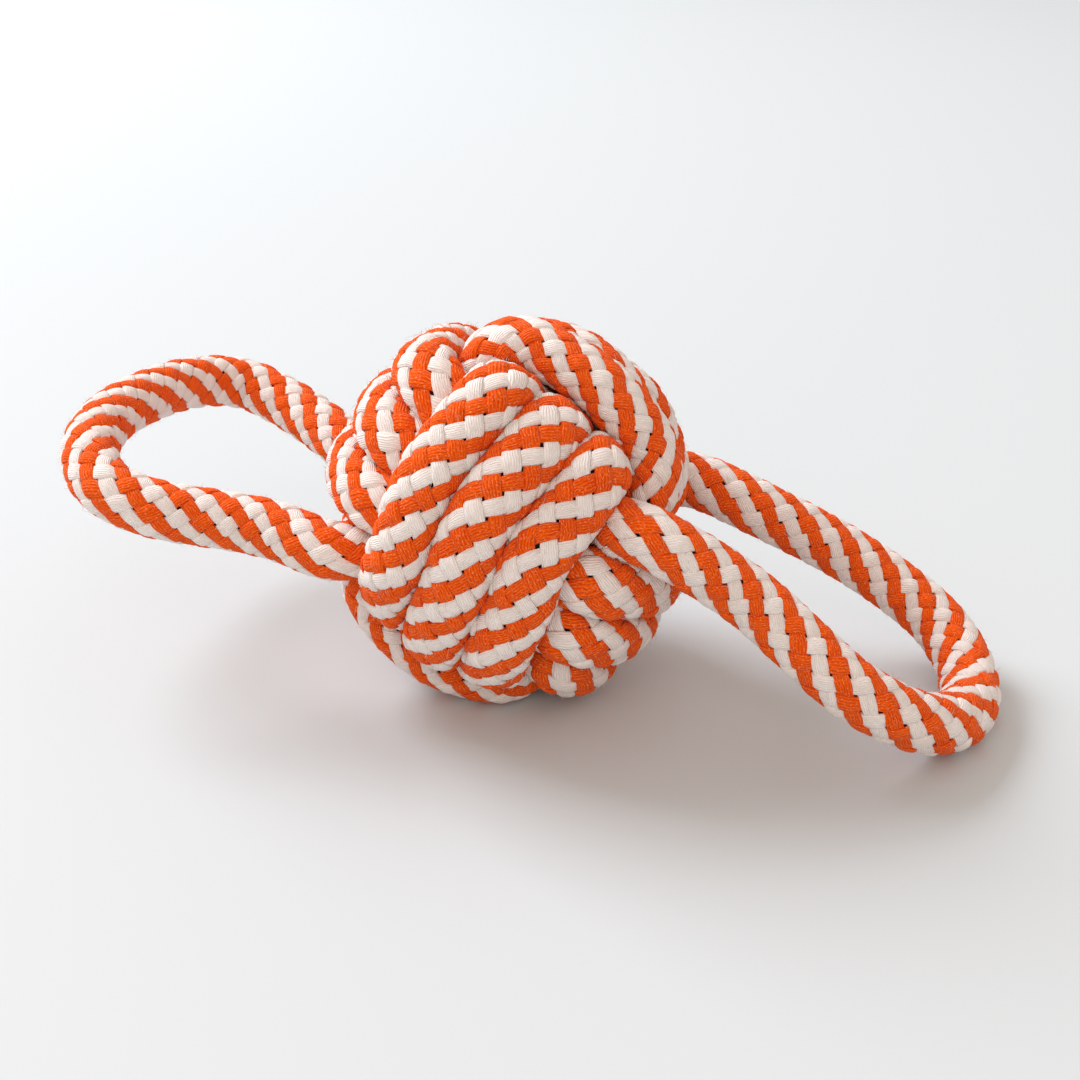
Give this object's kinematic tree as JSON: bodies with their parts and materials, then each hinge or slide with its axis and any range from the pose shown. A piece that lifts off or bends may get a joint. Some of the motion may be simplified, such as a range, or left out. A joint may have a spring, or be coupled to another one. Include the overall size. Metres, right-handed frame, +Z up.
{
  "type": "rope dog toy",
  "caption": "Rope dog toy: a monkey's fist ball tied from braided cotton rope, with a flexible rope loop handle on each side for tugging and throwing.",
  "frame": {"origin": "on the table, under the middle of the ball", "axes": "+X along the toy towards the loop that lies on the table, +Z up, -Y towards the viewer of the picture"},
  "size_m": [0.194, 0.0827, 0.0767],
  "materials": {
    "knot_rope": "braided cotton, orange and white strands, matt",
    "handle_rope": "braided cotton, orange and white strands, matt",
    "filler_yarn": "loose recycled cotton yarn, dark grey-brown, matt",
    "twine": "waxed cotton twine, satin"
  },
  "bodies": {
    "fist": {"fist_winding": "knot_rope", "front_run": "handle_rope", "back_run_left": "handle_rope", "back_run_right": "handle_rope", "join_whipping": "twine"},
    "left_loop": {"left_loop": "handle_rope", "left_loop_filler": "filler_yarn"},
    "right_loop": {"right_loop": "handle_rope", "right_loop_filler": "filler_yarn"}
  },
  "joints": [
    {"name": "left_loop_flex", "type": "hinge", "parent": "fist", "child": "left_loop", "pos_m": [-0.0301, -0.00131, 0.0303], "axis": [-0.0109, 0.9852, -0.1709], "range_deg": [-30, 40], "stiffness_Nm_per_rad": 0.25, "springref_deg": 1.72},
    {"name": "right_loop_flex", "type": "hinge", "parent": "fist", "child": "right_loop", "pos_m": [0.03028, 0.00124, 0.04185], "axis": [0.0162, -0.9851, 0.1713], "range_deg": [0, 45], "stiffness_Nm_per_rad": 0.25}
  ]
}
